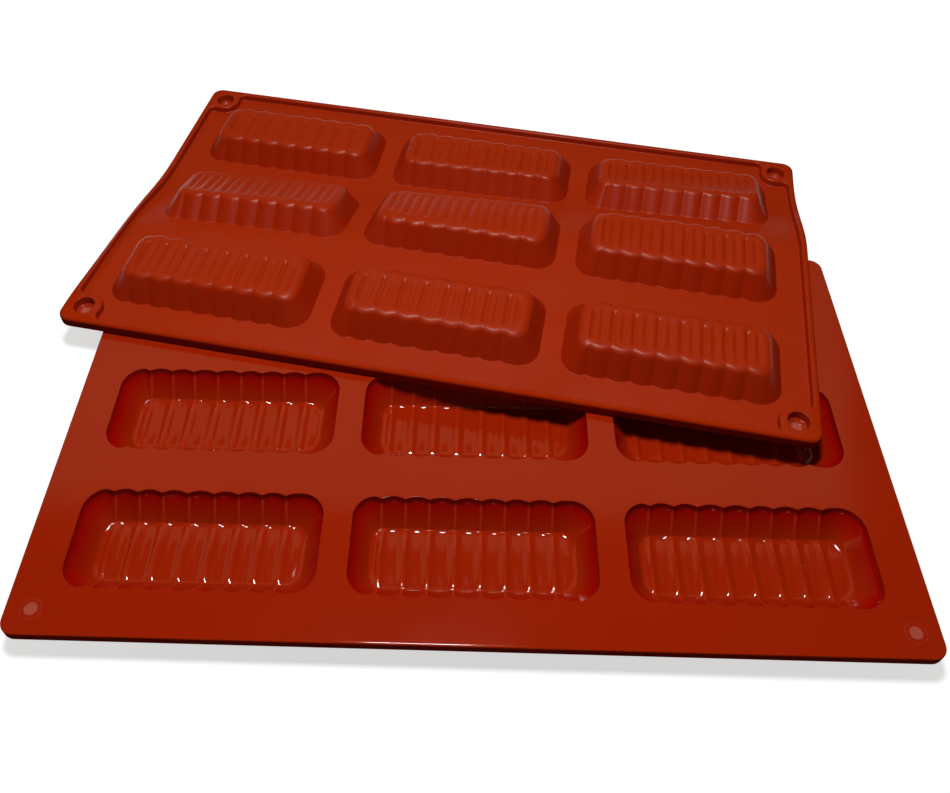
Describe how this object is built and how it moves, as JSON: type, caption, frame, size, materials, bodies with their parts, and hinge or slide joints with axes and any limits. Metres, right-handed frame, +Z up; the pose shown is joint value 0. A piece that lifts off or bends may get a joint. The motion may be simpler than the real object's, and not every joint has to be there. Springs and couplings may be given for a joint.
{
  "type": "rectangular silicone cake mould pair",
  "caption": "Pair of rectangular silicone cake moulds with fluted bar cups, a rim bead and blind corner holes; the upper mould is turned over and laid across the lower one's back edge.",
  "frame": {"origin": "on the table under the middle of the lower mould, in the plane its cups stand on", "axes": "+X to the right along the lower mould's long side, +Y to the back where the upper mould lies, +Z up"},
  "size_m": [0.3234, 0.2981, 0.0243],
  "materials": {
    "silicone": "satin inside, matt outside, brick-red silicone rubber",
    "thin_silicone": "the same rubber, thin enough to let light through"
  },
  "bodies": {
    "lower_mould": {"lower_web_sheet": "silicone", "lower_cup_front_left": "silicone", "lower_cup_front_centre": "silicone", "lower_cup_front_right": "silicone", "lower_cup_middle_left": "silicone", "lower_cup_middle_centre": "silicone", "lower_cup_middle_right": "silicone", "lower_cup_back_left": "silicone", "lower_cup_back_centre": "silicone", "lower_cup_back_right": "silicone", "lower_rim_bead_front": "silicone", "lower_rim_bead_back": "silicone", "lower_rim_bead_left": "silicone", "lower_rim_bead_right": "silicone", "lower_corner_boss_front_left": "silicone", "lower_corner_boss_front_right": "silicone", "lower_corner_boss_back_left": "silicone", "lower_corner_boss_back_right": "silicone", "lower_corner_film_front_left": "thin_silicone", "lower_corner_film_front_right": "thin_silicone", "lower_corner_film_back_left": "thin_silicone", "lower_corner_film_back_right": "thin_silicone"},
    "upper_mould": {"upper_web_sheet": "silicone", "upper_cup_front_left": "silicone", "upper_cup_front_centre": "silicone", "upper_cup_front_right": "silicone", "upper_cup_middle_left": "silicone", "upper_cup_middle_centre": "silicone", "upper_cup_middle_right": "silicone", "upper_cup_back_left": "silicone", "upper_cup_back_centre": "silicone", "upper_cup_back_right": "silicone", "upper_rim_bead_front": "silicone", "upper_rim_bead_back": "silicone", "upper_rim_bead_left": "silicone", "upper_rim_bead_right": "silicone", "upper_corner_boss_front_left": "silicone", "upper_corner_boss_front_right": "silicone", "upper_corner_boss_back_left": "silicone", "upper_corner_boss_back_right": "silicone", "upper_corner_film_front_left": "thin_silicone", "upper_corner_film_front_right": "thin_silicone", "upper_corner_film_back_left": "thin_silicone", "upper_corner_film_back_right": "thin_silicone"}
  },
  "joints": [
    {"name": "upper_lift", "type": "slide", "parent": "lower_mould", "child": "upper_mould", "axis": [0, 0, 1], "range_m": [0, 0.15]}
  ]
}
